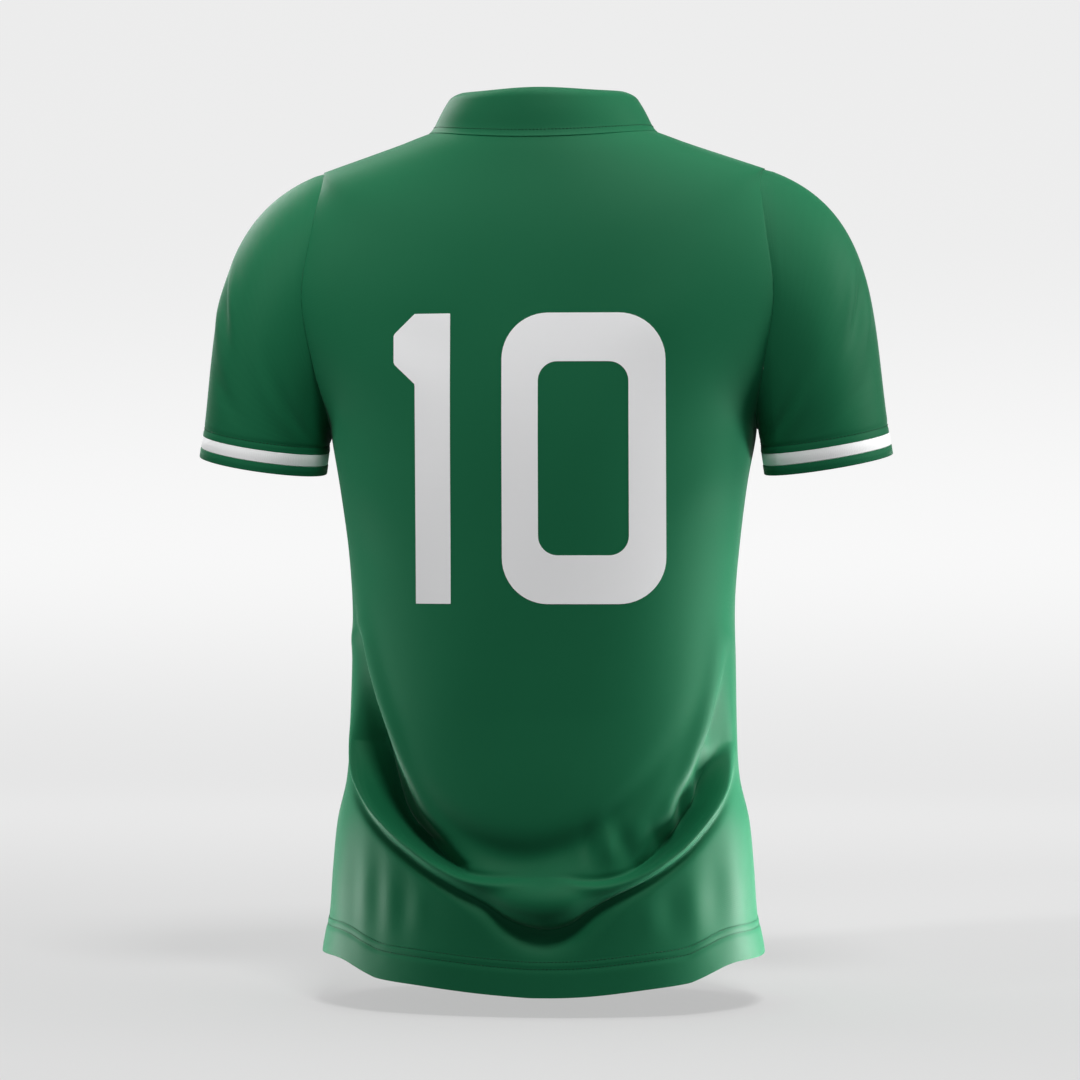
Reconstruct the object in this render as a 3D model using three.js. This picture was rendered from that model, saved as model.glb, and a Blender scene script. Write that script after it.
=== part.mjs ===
import * as THREE from 'three';

// A short-sleeved football jersey, hollow as if worn. Its back faces -Y, its front +Y, and +Z is up.
// The origin is the middle of the neck base, level with the shoulder line. Sizes are millimetres.

const ORIGIN = new THREE.Vector3();
const UP = new THREE.Vector3(0, 0, 1);

// Cloth and seams
const clothThickness = 1.5;
const collarThickness = 2.4;
const stripeThickness = 1.9;
const cuffThickness = 2.3;
const seamGap = 0.3;

// Body cut
const hemHeight = -691;
const underarmHeight = -250;
const shoulderPoint = { across: 188, height: -30 };
const neckPoint = { across: 97, height: 2.5 };
const neckRise = { height: 1.8, reach: 8 };
const hemFade = 110;

// How far the back hem hangs below the side seams, from its middle out to the side
const hemDrop = [
  { across: 0, depth: 20.6 },
  { across: 50, depth: 19.4 },
  { across: 95, depth: 16.6 },
  { across: 128, depth: 13.8 },
  { across: 138, depth: 10.6 },
  { across: 148, depth: 6.4 },
  { across: 158, depth: 2.2 },
  { across: 168, depth: 0 },
  { across: 187, depth: 0 },
];

// Half width of the sides, and how far the middle of the back and front stands from the side seams
const bodySections = [
  { height: -711, halfWidth: 187, back: 119, front: 119 },
  { height: -691, halfWidth: 187, back: 118, front: 118 },
  { height: -660, halfWidth: 181.5, back: 116, front: 116 },
  { height: -620, halfWidth: 178.5, back: 114, front: 114 },
  { height: -580, halfWidth: 174.5, back: 112, front: 112 },
  { height: -545, halfWidth: 166.8, back: 110, front: 110 },
  { height: -505, halfWidth: 164.3, back: 107, front: 108 },
  { height: -445, halfWidth: 163, back: 104, front: 107 },
  { height: -394, halfWidth: 162.6, back: 104, front: 110 },
  { height: -343, halfWidth: 167, back: 106, front: 116 },
  { height: -292, halfWidth: 173.5, back: 109, front: 122 },
  { height: -250, halfWidth: 181, back: 110, front: 125 },
  { height: -200, halfWidth: 181, back: 109, front: 122 },
  { height: -130, halfWidth: 181, back: 105, front: 105 },
  { height: -72, halfWidth: 181, back: 95, front: 80 },
  { height: -40, halfWidth: 181, back: 86, front: 80 },
  { height: -8, halfWidth: 181, back: 75, front: 80 },
];
const bodyPower = 2.35;
const neckPower = 2.1;

// Armhole: turn 0 is the shoulder point, 180 the underarm
const armhole = { middle: -140, halfHeight: 110, halfDepth: 66 };
const armholeSections = [
  { turn: 0, back: 188, front: 188 },
  { turn: 30, back: 185.5, front: 184.5 },
  { turn: 60, back: 191, front: 186 },
  { turn: 90, back: 197.5, front: 189 },
  { turn: 120, back: 189.5, front: 184.5 },
  { turn: 150, back: 181.5, front: 180.5 },
  { turn: 180, back: 181, front: 181 },
];

// Height of the middle of the row that leaves the shoulder point, and of the neckline's middle
const panels = {
  back: {
    side: -1,
    shoulderRow: -76,
    neckline: -8,
    lowerRows: 14,
    upperRows: 9,
    shoulderRows: 4,
    columns: 34,
    hasDrop: true,
  },
  front: {
    side: 1,
    shoulderRow: -128,
    neckline: -72,
    lowerRows: 7,
    upperRows: 7,
    shoulderRows: 4,
    columns: 22,
    hasDrop: false,
  },
};
const lowerRowsTop = -490;
const armholeRows = 12;
const eveningPasses = 10;

// Sleeve end: an oval in a tilted plane, with the cuff's two bands below it
const sleeveEnd = {
  centre: new THREE.Vector3(238.6, 0, -261),
  halfWidth: 54.4,
  halfDepth: 58,
  outwardTilt: THREE.MathUtils.degToRad(9),
  forwardTilt: THREE.MathUtils.degToRad(6),
};
const sleeveRows = 8;
const sleeveLeave = { top: 19, bottom: 78, pull: 0.42 };
const sleeveArrive = 0.38;
const cuffColumns = 30;
const stripeWidth = 10;
const cuffWidth = 8;
const cuffProud = 0.4;

// Stand collar
const collar = {
  width: 40.5,
  leanSide: 21.5,
  leanBack: 8,
  leanFront: 12,
  bulge: 1.6,
  rows: 5,
  notch: 6,
  notchReach: 18,
  endGap: 0.3,
};

// Folds: each follows a hanging curve, is set off from it, and changes from its sides to its bottom
const hangingCurves = {
  outer: { across: 8, height: -512, halfWidth: 158, drop: 133, power: 1.63 },
  inner: { across: 9, height: -393, halfWidth: 155, drop: 228, power: 1.95 },
  front: { across: -6, height: -470, halfWidth: 150, drop: 160, power: 1.8 },
};
const backFolds = [
  { curve: 'outer', offset: 0, sideLift: 6, bottomLift: 11, sideSpread: 7, bottomSpread: 12 },
  { curve: 'outer', offset: 20, sideLift: -4, bottomLift: -7, sideSpread: 8, bottomSpread: 8 },
  { curve: 'outer', offset: -17, sideLift: -4, bottomLift: -1, sideSpread: 7, bottomSpread: 12 },
  { curve: 'inner', offset: 0, sideLift: 5, bottomLift: 0, sideSpread: 9, bottomSpread: 14 },
  { curve: 'inner', offset: -20, sideLift: -3, bottomLift: -1, sideSpread: 10, bottomSpread: 14 },
];
const frontFolds = [
  { curve: 'front', offset: 0, sideLift: 5, bottomLift: 3, sideSpread: 14, bottomSpread: 18 },
  { curve: 'front', offset: 34, sideLift: -4, bottomLift: -2, sideSpread: 14, bottomSpread: 18 },
];
const foldEdgePower = 8;

const green = { color: 0x1c6440, roughness: 0.62, metalness: 0 };
const white = { color: 0xe9ecea, roughness: 0.62, metalness: 0 };

// Smooth value of one column of a table, at a place between its rows
function tableValue(rows, where, at, column) {
  const last = rows.length - 1;
  if (at <= rows[0][where]) return rows[0][column];
  if (at >= rows[last][where]) return rows[last][column];
  let low = 0;
  while (rows[low + 1][where] < at) low += 1;
  const slope = (index) => {
    const before = rows[Math.max(index - 1, 0)];
    const after = rows[Math.min(index + 1, last)];
    return (after[column] - before[column]) / (after[where] - before[where]);
  };
  const span = rows[low + 1][where] - rows[low][where];
  const part = (at - rows[low][where]) / span;
  const start = rows[low][column];
  const end = rows[low + 1][column];
  const square = part * part;
  const cube = square * part;
  return (
    start * (2 * cube - 3 * square + 1) +
    slope(low) * span * (cube - 2 * square + part) +
    end * (3 * square - 2 * cube) +
    slope(low + 1) * span * (cube - square)
  );
}

// Point of the right armhole at a turn in degrees: 0 to 180 down the back, 0 to -180 down the front
function armholePoint(turn) {
  const away = Math.abs(turn);
  const angle = THREE.MathUtils.degToRad(away);
  const side = turn > 0 ? -1 : 1;
  return new THREE.Vector3(
    tableValue(armholeSections, 'turn', away, turn > 0 ? 'back' : 'front'),
    side * armhole.halfDepth * Math.sin(angle),
    armhole.middle + armhole.halfHeight * Math.cos(angle),
  );
}

// Across the armhole seam, from the body to the sleeve, and outward from it
function armholeFrame(turn) {
  const step = 2;
  const wrap = (angle) => (angle > 180 ? angle - 360 : angle < -180 ? angle + 360 : angle);
  const along = armholePoint(wrap(turn + step)).sub(armholePoint(wrap(turn - step)));
  const slope = (1 + Math.cos(THREE.MathUtils.degToRad(turn))) / 2;
  const leave = THREE.MathUtils.degToRad(sleeveLeave.top) * slope;
  const across = new THREE.Vector3(Math.cos(leave), 0, -Math.sin(leave));
  const outward = new THREE.Vector3().crossVectors(along, across).normalize();
  return { across, outward };
}

function shoulderHeight(across) {
  const slope = neckPoint.height - neckRise.height - shoulderPoint.height;
  const part = (across - neckPoint.across) / (shoulderPoint.across - neckPoint.across);
  const rise = neckRise.height * Math.exp(-(across - neckPoint.across) / neckRise.reach);
  return shoulderPoint.height + slope * (1 - part) + rise;
}

// Ends of a panel's rows on its right edge, from the hem up the side, armhole and shoulder
function rowEnds(panel) {
  const ends = [];
  const sideEnd = (height) => ({
    point: new THREE.Vector3(tableValue(bodySections, 'height', height, 'halfWidth'), 0, height),
    middle: height,
    seam: 'side',
    power: bodyPower,
  });
  for (let row = 0; row < panel.lowerRows; row += 1) {
    ends.push(sideEnd(THREE.MathUtils.lerp(hemHeight, lowerRowsTop, row / panel.lowerRows)));
  }
  for (let row = 0; row < panel.upperRows; row += 1) {
    ends.push(sideEnd(THREE.MathUtils.lerp(lowerRowsTop, underarmHeight, row / panel.upperRows)));
  }
  for (let row = 0; row <= armholeRows; row += 1) {
    const turn = 180 - (180 * row) / armholeRows;
    const point = armholePoint(-panel.side * turn);
    const rise = (point.z - underarmHeight) / (shoulderPoint.height - underarmHeight);
    const middle = THREE.MathUtils.lerp(underarmHeight, panel.shoulderRow, rise);
    ends.push({ point, middle, seam: 'armhole', turn: -panel.side * turn, power: bodyPower });
  }
  for (let row = 1; row <= panel.shoulderRows; row += 1) {
    const part = row / panel.shoulderRows;
    const across = THREE.MathUtils.lerp(shoulderPoint.across, neckPoint.across, part);
    const point = new THREE.Vector3(across, 0, shoulderHeight(across));
    const middle = THREE.MathUtils.lerp(panel.shoulderRow, panel.neckline, part);
    const power = THREE.MathUtils.lerp(bodyPower, neckPower, part * part);
    ends.push({ point, middle, seam: row === panel.shoulderRows ? 'neck' : 'shoulder', power });
  }
  return ends;
}

// Point of a row at a place from -1 (left end) through 0 (middle) to 1 (right end)
function rowPoint(panel, end, place) {
  const depth = tableValue(bodySections, 'height', end.middle, panel.side < 0 ? 'back' : 'front');
  const { power } = end;
  const endShare = Math.abs(end.point.y) / depth;
  const endAcross = Math.pow(1 - Math.pow(endShare, power), 1 / power);
  const fullWidth = end.point.x / endAcross;
  const endAngle = Math.asin(Math.pow(endAcross, power / 2));
  const angle = endAngle * Math.abs(place);
  const outShare = Math.pow(Math.cos(angle), 2 / power);
  const across = Math.sign(place) * fullWidth * Math.pow(Math.sin(angle), 2 / power);
  const rise = (1 - outShare * outShare) / (1 - endShare * endShare);
  const height = THREE.MathUtils.lerp(end.middle, end.point.z, rise);
  return new THREE.Vector3(across, panel.side * depth * outShare, height);
}

// The back hem hangs lower than the side seams, with a rounded step near each side
function hemSag(panel, end, point) {
  if (!panel.hasDrop || end.seam !== 'side') return 0;
  const near = THREE.MathUtils.clamp((hemHeight + hemFade - end.point.z) / hemFade, 0, 1);
  const out = (hemDrop.at(-1).across * Math.abs(point.x)) / end.point.x;
  return near * tableValue(hemDrop, 'across', out, 'depth');
}

function foldLift(folds, across, height) {
  return folds.reduce((total, fold) => {
    const curve = hangingCurves[fold.curve];
    const sideways = (across - curve.across) / curve.halfWidth;
    const down = Math.max(curve.height - height, 0) / curve.drop;
    const level = Math.pow(
      Math.pow(Math.abs(sideways), curve.power) + Math.pow(down, curve.power),
      1 / curve.power,
    );
    if (level === 0) return total;
    const reach = Math.hypot(across - curve.across, Math.max(curve.height - height, 0));
    const distance = reach - reach / level - fold.offset;
    const low = Math.pow(down / level, 2);
    const lift = THREE.MathUtils.lerp(fold.sideLift, fold.bottomLift, low);
    const spread = THREE.MathUtils.lerp(fold.sideSpread, fold.bottomSpread, low);
    const above = Math.max(height - curve.height, 0) / curve.drop;
    const fade = Math.exp(-9 * above * above);
    return total + fade * lift * Math.exp(-0.5 * Math.pow(distance / spread, 2));
  }, 0);
}

// Unit normals of a grid of points, from the neighbours of each
function gridNormals(points, around) {
  const rows = points.length;
  const columns = points[0].length;
  return points.map((row, i) =>
    row.map((point, j) => {
      const up = points[Math.min(i + 1, rows - 1)][j].clone().sub(points[Math.max(i - 1, 0)][j]);
      const right = around ? (j + 1) % columns : Math.min(j + 1, columns - 1);
      const left = around ? (j - 1 + columns) % columns : Math.max(j - 1, 0);
      return row[right].clone().sub(row[left]).cross(up).normalize();
    }),
  );
}

// Closed wall between two grids of points, joined along every open edge
function wall(name, finish, outer, inner, around) {
  const rows = outer.length;
  const columns = outer[0].length;
  const layer = rows * columns;
  const positions = [...outer.flat(), ...inner.flat()].flatMap((point) => [point.x, point.y, point.z]);
  const faces = [];
  const quad = (a, b, c, d) => faces.push(a, b, c, a, c, d);
  const at = (i, j) => i * columns + (j % columns);
  const lastColumn = around ? columns : columns - 1;
  for (let i = 0; i < rows - 1; i += 1) {
    for (let j = 0; j < lastColumn; j += 1) {
      quad(at(i, j), at(i, j + 1), at(i + 1, j + 1), at(i + 1, j));
      quad(layer + at(i, j), layer + at(i + 1, j), layer + at(i + 1, j + 1), layer + at(i, j + 1));
    }
  }
  for (let j = 0; j < lastColumn; j += 1) {
    const top = rows - 1;
    quad(at(0, j), layer + at(0, j), layer + at(0, j + 1), at(0, j + 1));
    quad(at(top, j), at(top, j + 1), layer + at(top, j + 1), layer + at(top, j));
  }
  if (!around) {
    for (let i = 0; i < rows - 1; i += 1) {
      const end = columns - 1;
      quad(at(i, 0), at(i + 1, 0), layer + at(i + 1, 0), layer + at(i, 0));
      quad(at(i, end), layer + at(i, end), layer + at(i + 1, end), at(i + 1, end));
    }
  }
  const geometry = new THREE.BufferGeometry();
  geometry.setAttribute('position', new THREE.Float32BufferAttribute(positions, 3));
  geometry.setIndex(faces);
  geometry.computeVertexNormals();
  const mesh = new THREE.Mesh(geometry, new THREE.MeshStandardMaterial(finish));
  mesh.name = name;
  return mesh;
}

function moved(points, directions, distance) {
  return points.map((row, i) =>
    row.map((point, j) => point.clone().addScaledVector(directions[i][j], distance)),
  );
}

// Same grid on the other side of the garment
function mirrored(points) {
  return points.map((row) =>
    row.map((point) => new THREE.Vector3(-point.x, point.y, point.z)).reverse(),
  );
}

function neckOutward(point) {
  const radial = new THREE.Vector3(point.x / neckPoint.across, point.y / bodySections.at(-1).back, 0);
  return radial.normalize().add(UP).normalize();
}

// Evens out the rows above the underarm, where they turn from the armhole to the shoulder seam
function evened(points, firstRow) {
  let grid = points;
  for (let pass = 0; pass < eveningPasses; pass += 1) {
    grid = grid.map((row, i) =>
      row.map((point, j) => {
        if (i <= firstRow || i === grid.length - 1) return point;
        const place = 1 - (2 * j) / (row.length - 1);
        const share = 0.5 * Math.pow(1 - place * place, 2);
        const middle = grid[i - 1][j].clone().lerp(grid[i + 1][j], 0.5);
        return point.clone().lerp(middle, share);
      }),
    );
  }
  return grid;
}

function bodyPanel(name, panel, folds) {
  const ends = rowEnds(panel);
  const place = (column) => panel.side * (1 - (2 * column) / panel.columns);
  const rows = ends.map((end) =>
    Array.from({ length: panel.columns + 1 }, (_, column) => {
      const point = rowPoint(panel, end, place(column));
      point.z -= hemSag(panel, end, point);
      return point;
    }),
  );
  const base = evened(rows, panel.lowerRows);
  const baseNormals = gridNormals(base, false);
  const outer = base.map((row, i) =>
    row.map((point, column) => {
      const hold = 1 - Math.pow(Math.abs(place(column)), foldEdgePower);
      const lift = hold * foldLift(folds, point.x, point.z);
      return point.clone().addScaledVector(baseNormals[i][column], lift);
    }),
  );
  const normals = gridNormals(outer, false);
  ends.forEach((end, i) => {
    [0, panel.columns].forEach((column) => {
      const sign = Math.sign(place(column));
      if (end.seam === 'armhole') {
        const { outward: direction } = armholeFrame(end.turn);
        normals[i][column].set(sign * direction.x, direction.y, direction.z);
      } else {
        normals[i][column].setY(0).normalize();
      }
      if (Math.abs(end.point.y) < seamGap) {
        normals[i][column].setY(0).normalize();
        outer[i][column].y = (panel.side * seamGap) / 2;
      }
    });
  });
  const top = ends.length - 1;
  outer[top].forEach((point, column) => {
    const atShoulder = column === 0 || column === panel.columns;
    normals[top][column].copy(neckOutward(point));
    if (atShoulder) normals[top][column].setY(0).normalize();
  });
  normals[0].forEach((normal) => normal.setZ(0).normalize());
  const inner = moved(outer, normals, -clothThickness);
  return { mesh: wall(name, green, outer, inner, false), neckline: outer[top] };
}

// Directions of the sleeve's end: out and back in its plane, and on along the sleeve
function sleeveEndFrame() {
  const { outwardTilt, forwardTilt } = sleeveEnd;
  const out = new THREE.Vector3(Math.cos(outwardTilt), 0, Math.sin(outwardTilt));
  const level = new THREE.Vector3(0, -1, 0);
  const below = new THREE.Vector3().crossVectors(out, level).normalize();
  const back = level.multiplyScalar(Math.cos(forwardTilt));
  back.addScaledVector(below, Math.sin(forwardTilt));
  const along = new THREE.Vector3().crossVectors(out, back).normalize();
  return { out, back, along };
}

// Offset of a point of the sleeve's oval from its centre
function ovalPoint(angle, halfWidth, halfDepth) {
  const { out, back } = sleeveEndFrame();
  return ORIGIN.clone()
    .addScaledVector(out, halfWidth * Math.cos(angle))
    .addScaledVector(back, halfDepth * Math.sin(angle));
}

function sleeveGrid() {
  const { along } = sleeveEndFrame();
  const turns = [];
  for (let step = 0; step < armholeRows; step += 1) turns.push((180 * step) / armholeRows);
  for (let step = armholeRows; step > 0; step -= 1) turns.push((-180 * step) / armholeRows);
  const curves = turns.map((turn) => {
    const angle = THREE.MathUtils.degToRad(turn);
    const { across } = armholeFrame(turn);
    const start = armholePoint(turn).addScaledVector(across, seamGap);
    const end = sleeveEnd.centre.clone();
    end.add(ovalPoint(angle, sleeveEnd.halfWidth, sleeveEnd.halfDepth));
    const length = start.distanceTo(end);
    const share = (1 - Math.cos(angle)) / 2;
    const fall = THREE.MathUtils.degToRad(
      THREE.MathUtils.lerp(sleeveLeave.top, sleeveLeave.bottom, share),
    );
    const leave = new THREE.Vector3(Math.cos(fall), 0, -Math.sin(fall));
    const first = start.clone().addScaledVector(leave, sleeveLeave.pull * length);
    const second = end.clone().addScaledVector(along, -sleeveArrive * length);
    return new THREE.CubicBezierCurve3(start, first, second, end);
  });
  const points = [];
  for (let row = 0; row <= sleeveRows; row += 1) {
    points.push(curves.map((curve) => curve.getPoint(row / sleeveRows)));
  }
  return { points, turns };
}

function sleeve() {
  const { points, turns } = sleeveGrid();
  const normals = gridNormals(points, true);
  normals[0] = turns.map((turn) => armholeFrame(turn).outward);
  normals[sleeveRows] = turns.map((turn) => {
    const angle = THREE.MathUtils.degToRad(turn);
    return ovalPoint(angle, sleeveEnd.halfDepth, sleeveEnd.halfWidth).normalize();
  });
  return { outer: points, inner: moved(points, normals, -clothThickness) };
}

// Straight band below the sleeve's end, from one distance along the sleeve to another
function cuffBand(start, width, thickness, proud) {
  const { along } = sleeveEndFrame();
  const ring = (distance, inset) =>
    Array.from({ length: cuffColumns }, (_, column) => {
      const angle = (2 * Math.PI * column) / cuffColumns;
      const halfWidth = sleeveEnd.halfWidth + inset;
      const halfDepth = sleeveEnd.halfDepth + inset;
      return sleeveEnd.centre
        .clone()
        .add(ovalPoint(angle, halfWidth, halfDepth))
        .addScaledVector(along, distance);
    });
  const distances = [start, start + width];
  return {
    outer: distances.map((distance) => ring(distance, proud)),
    inner: distances.map((distance) => ring(distance, proud - thickness)),
  };
}

function pair(name, finish, grids) {
  return [
    wall(`${name}_right`, finish, grids.outer, grids.inner, true),
    wall(`${name}_left`, finish, mirrored(grids.outer), mirrored(grids.inner), true),
  ];
}

// Collar: a standing band on the neckline, its ends meeting at the middle of the front
function standCollar(backNeckline, frontNeckline) {
  const middle = (frontNeckline.length - 1) / 2;
  const leftFront = frontNeckline.slice(middle);
  const rightFront = frontNeckline.slice(0, middle + 1);
  const base = [...leftFront.slice(0, -1), ...backNeckline, ...rightFront.slice(1)];
  const ends = { left: base[0].clone(), right: base.at(-1).clone() };
  ends.left.x -= collar.endGap;
  ends.right.x += collar.endGap;
  base.splice(0, 1, ends.left);
  base.splice(-1, 1, ends.right);
  const rows = [];
  for (let row = 0; row <= collar.rows; row += 1) {
    const part = row / collar.rows;
    rows.push(
      base.map((point) => {
        const radial = new THREE.Vector3(point.x, point.y, 0).normalize();
        const sideways = radial.x * radial.x;
        const leanMiddle = point.y < 0 ? collar.leanBack : collar.leanFront;
        const lean = THREE.MathUtils.lerp(leanMiddle, collar.leanSide, sideways);
        const rise = Math.sqrt(collar.width * collar.width - lean * lean);
        const bulge = collar.bulge * Math.sin(Math.PI * part);
        const notch = point.y > 0 ? collar.notch * Math.exp(-Math.abs(point.x) / collar.notchReach) : 0;
        const seam = neckOutward(point);
        const across = UP.clone().addScaledVector(seam, -UP.dot(seam)).normalize();
        return point
          .clone()
          .addScaledVector(across, seamGap)
          .addScaledVector(radial, bulge - lean * part)
          .add(new THREE.Vector3(Math.sign(point.x) * notch * part * part, 0, rise * part));
      }),
    );
  }
  const normals = gridNormals(rows, false);
  base.forEach((point, column) => normals[0][column].copy(neckOutward(point)));
  return wall('collar', green, rows, moved(rows, normals, -collarThickness), false);
}

const back = bodyPanel('back_panel', panels.back, backFolds);
const front = bodyPanel('front_panel', panels.front, frontFolds);
const stripeStart = seamGap;
const cuffStart = stripeStart + stripeWidth + seamGap;

const jersey = new THREE.Group();
jersey.add(back.mesh, front.mesh);
jersey.add(...pair('sleeve', green, sleeve()));
jersey.add(...pair('cuff_stripe', white, cuffBand(stripeStart, stripeWidth, stripeThickness, 0)));
jersey.add(...pair('cuff_edge', green, cuffBand(cuffStart, cuffWidth, cuffThickness, cuffProud)));
jersey.add(standCollar(back.neckline, front.neckline));

export default jersey;
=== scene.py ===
import math

import bpy
import numpy as np
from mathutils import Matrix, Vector
from mathutils.bvhtree import BVHTree


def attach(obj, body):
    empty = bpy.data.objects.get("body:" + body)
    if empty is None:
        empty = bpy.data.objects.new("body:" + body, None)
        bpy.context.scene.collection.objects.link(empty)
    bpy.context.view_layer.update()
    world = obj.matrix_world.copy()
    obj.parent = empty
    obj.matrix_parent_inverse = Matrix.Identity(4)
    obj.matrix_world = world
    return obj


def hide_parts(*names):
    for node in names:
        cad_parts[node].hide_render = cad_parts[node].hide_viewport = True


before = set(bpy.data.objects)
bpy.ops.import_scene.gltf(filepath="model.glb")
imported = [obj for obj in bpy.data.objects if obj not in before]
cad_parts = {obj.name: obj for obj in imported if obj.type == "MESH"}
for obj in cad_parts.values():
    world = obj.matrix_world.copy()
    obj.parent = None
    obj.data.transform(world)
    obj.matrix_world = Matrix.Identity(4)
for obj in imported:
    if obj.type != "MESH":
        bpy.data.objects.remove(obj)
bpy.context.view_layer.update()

# Football jersey, seen from the back. Sizes are in millimetres until a mesh is made.
MM = 0.001


class Sizes(dict):
    """Named sizes, read as sizes.name."""
    __getattr__ = dict.__getitem__


def table(columns, rows):
    """Rows of a table, each as named sizes by the table's column names."""
    return [Sizes(zip(columns.split(), row)) for row in rows]


# Body cut, as in the solids
HEM_HEIGHT = -691.0
UNDERARM_HEIGHT = -250.0
SHOULDER_POINT = Sizes(across=188.0, height=-30.0)
NECK_POINT = Sizes(across=97.0, height=2.5)
NECK_RISE = Sizes(height=1.8, reach=8.0)
HEM_FADE = 110.0
HEM_DROP = table("across drop", [
    (0, 20.6),
    (50, 19.4),
    (95, 16.6),
    (128, 13.8),
    (138, 10.6),
    (148, 6.4),
    (158, 2.2),
    (168, 0.0),
    (187, 0.0),
])
LOWER_ROWS_TOP = -490.0
SEAM_DIP = 0.7
SEAM_STEP = 1.5
BODY_POWER = 2.35
NECK_POWER = 2.1

BODY_SECTIONS = table("height half_width back front", [
    (-711, 187.0, 119, 119),
    (-691, 187.0, 118, 118),
    (-660, 181.5, 116, 116),
    (-620, 178.5, 114, 114),
    (-580, 174.5, 112, 112),
    (-545, 166.8, 110, 110),
    (-505, 164.3, 107, 108),
    (-445, 163.0, 104, 107),
    (-394, 162.6, 104, 110),
    (-343, 167.0, 106, 116),
    (-292, 173.5, 109, 122),
    (-250, 181.0, 110, 125),
    (-200, 181.0, 109, 122),
    (-130, 181.0, 105, 105),
    (-72, 181.0, 95, 80),
    (-40, 181.0, 86, 80),
    (-8, 181.0, 75, 80),
])

# Armhole: turn 0 is the shoulder point, 180 the underarm
ARMHOLE = Sizes(middle=-140.0, half_height=110.0, half_depth=66.0)
ARMHOLE_SECTIONS = table("turn back front", [
    (0, 188.0, 188.0),
    (30, 185.5, 184.5),
    (60, 191.0, 186.0),
    (90, 197.5, 189.0),
    (120, 189.5, 184.5),
    (150, 181.5, 180.5),
    (180, 181.0, 181.0),
])
ARMHOLE_ROWS = 12
EVENING_PASSES = 10

PANELS = dict(zip(("back", "front"), table(
    "side shoulder_row neckline drop lower upper shoulder columns fine_columns", [
        (-1, -76, -8, True, 14, 9, 4, 34, 248),
        (1, -128, -72, False, 7, 7, 4, 22, 200),
    ])))
DETAIL = 4

# Rows of the fine grid: along the hem, up to the roll, above it, then to the armhole and neck.
# The rows beside the roll lie closer together, by these powers.
FINE_ROWS = Sizes(hem=22, skirt=50, swag=70, side=10, armhole=28, shoulder=8)
FINE_POWERS = Sizes(skirt=1.3, swag=1.4)
HEM_ZONE = 36.0
SWAG_ROWS_HIGH = -330.0
FRONT_ROWS_BELOW_ROLL = 60.0
ROLL_SEARCH = Sizes(start=-560.0, passes=12, pull=0.7, keep=0.3, evening=6)

# How folds fade towards a panel's edges: across, above the hem, at the top and by the armhole
FOLD_FADE = Sizes(
    edge_power=8, side_from=0.66, side_span=0.24, side_share=0.8, hem_reach=18, hem_share=0.35,
    top_rows=8, arm_rows=12, arm_past=4, arm_power=6,
)

# Sleeve end and cuff
SLEEVE_END = Sizes(
    centre=(238.6, 0.0, -261.0), half_width=54.4, half_depth=58.0, outward_tilt=9.0,
    forward_tilt=6.0,
)
SLEEVE_LEAVE = Sizes(top=19.0, bottom=78.0, pull=0.42)
SLEEVE_ARRIVE = 0.38
SLEEVE_ROWS = 64
SLEEVE_ROW_POWER = 1.3
SLEEVE_COLUMNS = 144
SLEEVE_FADE = Sizes(top=0.12, end=0.05)
SLEEVE_GROOVE = Sizes(depth=0.6, spread=1.2)
STRIPE_WIDTH = 10.0
CUFF_WIDTH = 8.0
CUFF_GAP = 0.3
CUFF_CORNER = 0.42

# Stand collar
COLLAR = Sizes(
    width=40.5, lean_side=21.5, lean_back=8.0, lean_front=12.0, bulge=1.6, flare=3.0,
    flare_reach=0.09, edge_from=0.8, edge_in=5.5, edge_down=1.0, arch=4.0, arch_reach=42, rows=26,
    notch=6.0, notch_reach=18.0, end_gap=0.3,
)

# Cloth
THICKNESS = Sizes(knit=1.3, stripe=1.6, cuff=1.8, collar=2.2)
EDGE_ROUNDING = 0.36
HEM_LINES = (23.5, 29.5)
HEM_RELIEF = Sizes(lift=0.8, past=1.5, spread=1.6, groove_spread=1.4)
SLEEVE_LINE = 6.5
COLLAR_LINE = 6.4


def smooth_value(rows, at, column):
    """Smooth values of one column of a table, at places along its first column."""
    x = np.array([next(iter(row.values())) for row in rows], float)
    y = np.array([row[column] for row in rows], float)
    slopes = np.empty_like(y)
    slopes[1:-1] = (y[2:] - y[:-2]) / (x[2:] - x[:-2])
    slopes[0] = (y[1] - y[0]) / (x[1] - x[0])
    slopes[-1] = (y[-1] - y[-2]) / (x[-1] - x[-2])
    at = np.clip(at, x[0], x[-1])
    low = np.clip(np.searchsorted(x, at, side="right") - 1, 0, len(x) - 2)
    span = x[low + 1] - x[low]
    part = (at - x[low]) / span
    square, cube = part**2, part**3
    return (y[low] * (2 * cube - 3 * square + 1)
            + slopes[low] * span * (cube - 2 * square + part)
            + y[low + 1] * (3 * square - 2 * cube)
            + slopes[low + 1] * span * (cube - square))


def unit(vectors):
    return vectors / np.linalg.norm(vectors, axis=-1, keepdims=True)


def run_lengths(points):
    """Lengths along the first axis of some points, from its start."""
    gaps = np.linalg.norm(np.diff(points, axis=0), axis=-1)
    return np.concatenate([np.zeros_like(gaps[:1]), np.cumsum(gaps, axis=0)])


def falling(angle):
    """Directions to the right that fall at an angle."""
    return np.stack([np.cos(angle), np.zeros_like(angle), -np.sin(angle)], axis=-1)


def armhole_points(turns):
    """Points of the right armhole at turns in degrees: 0 to 180 is the back, below 0 the front."""
    away = np.abs(turns)
    angle = np.radians(away)
    back = turns > 0
    across = np.where(back, smooth_value(ARMHOLE_SECTIONS, away, "back"),
                      smooth_value(ARMHOLE_SECTIONS, away, "front"))
    depth = np.where(back, -1, 1) * ARMHOLE.half_depth * np.sin(angle)
    height = ARMHOLE.middle + ARMHOLE.half_height * np.cos(angle)
    return np.stack([across, depth, height], axis=-1)


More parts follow.
